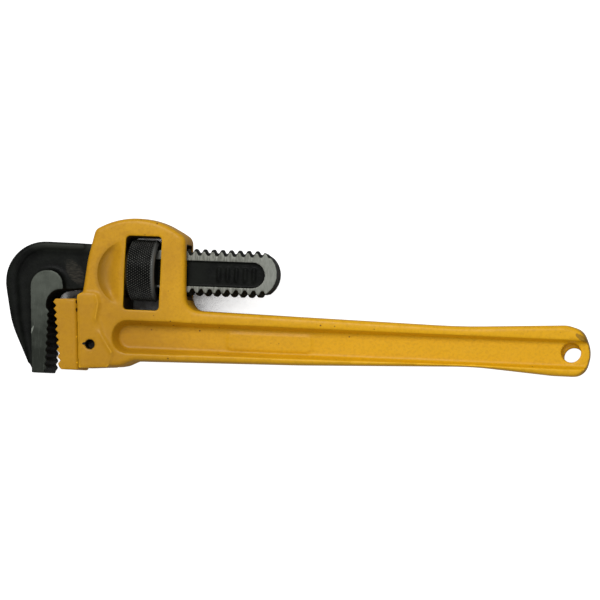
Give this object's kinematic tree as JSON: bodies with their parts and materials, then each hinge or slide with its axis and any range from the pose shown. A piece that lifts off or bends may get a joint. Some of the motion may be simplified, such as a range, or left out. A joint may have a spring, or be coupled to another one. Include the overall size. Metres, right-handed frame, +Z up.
{
  "type": "pipe wrench",
  "caption": "Adjustable pipe wrench with a forged I-section handle, loop housing, toothed hook jaw on a flat-sided screw shank and a knurled nut.",
  "frame": {"origin": "centre of the footprint of the wrench lying on its side with the jaws nearly closed, at the lowest point of the nut", "axes": "+X along the handle away from the jaws, +Y across the handle towards the housing loop, +Z up through the thickness"},
  "size_m": [0.2651, 0.0716, 0.0278],
  "materials": {
    "enamel": "gloss",
    "black_steel": "satin",
    "nut_steel": "satin",
    "pin_steel": "satin",
    "spring_steel": "satin"
  },
  "bodies": {
    "base": {"handle_frame": "enamel", "heel_jaw": "enamel", "heel_jaw_pin": "pin_steel", "flat_spring": "spring_steel", "spring_rivet": "pin_steel"},
    "rocker": {"coil_spring": "spring_steel"},
    "hook": {"hook_jaw": "black_steel"},
    "nut": {"adjusting_nut": "nut_steel"}
  },
  "joints": [
    {"name": "hook_rock", "type": "hinge", "parent": "base", "child": "rocker", "pos_m": [-0.0688, 0.01244, 0.0139], "axis": [0, 0, 1], "range_deg": [0, 2], "stiffness_Nm_per_rad": 12, "springref_deg": -3.44, "deforming": ["flat_spring", "coil_spring"]},
    {"name": "hook_slide", "type": "slide", "parent": "rocker", "child": "hook", "axis": [-1, 0, 0], "range_m": [-0.0012, 0.038]},
    {"name": "nut_spin", "type": "hinge", "parent": "rocker", "child": "nut", "pos_m": [-0.0688, 0.01244, 0.0139], "axis": [1, 0, 0], "range_deg": [-115, 3430]}
  ],
  "couplings": [
    {"joint": "nut_spin", "follows": "hook_slide", "rad_per_m": 1570.8}
  ]
}
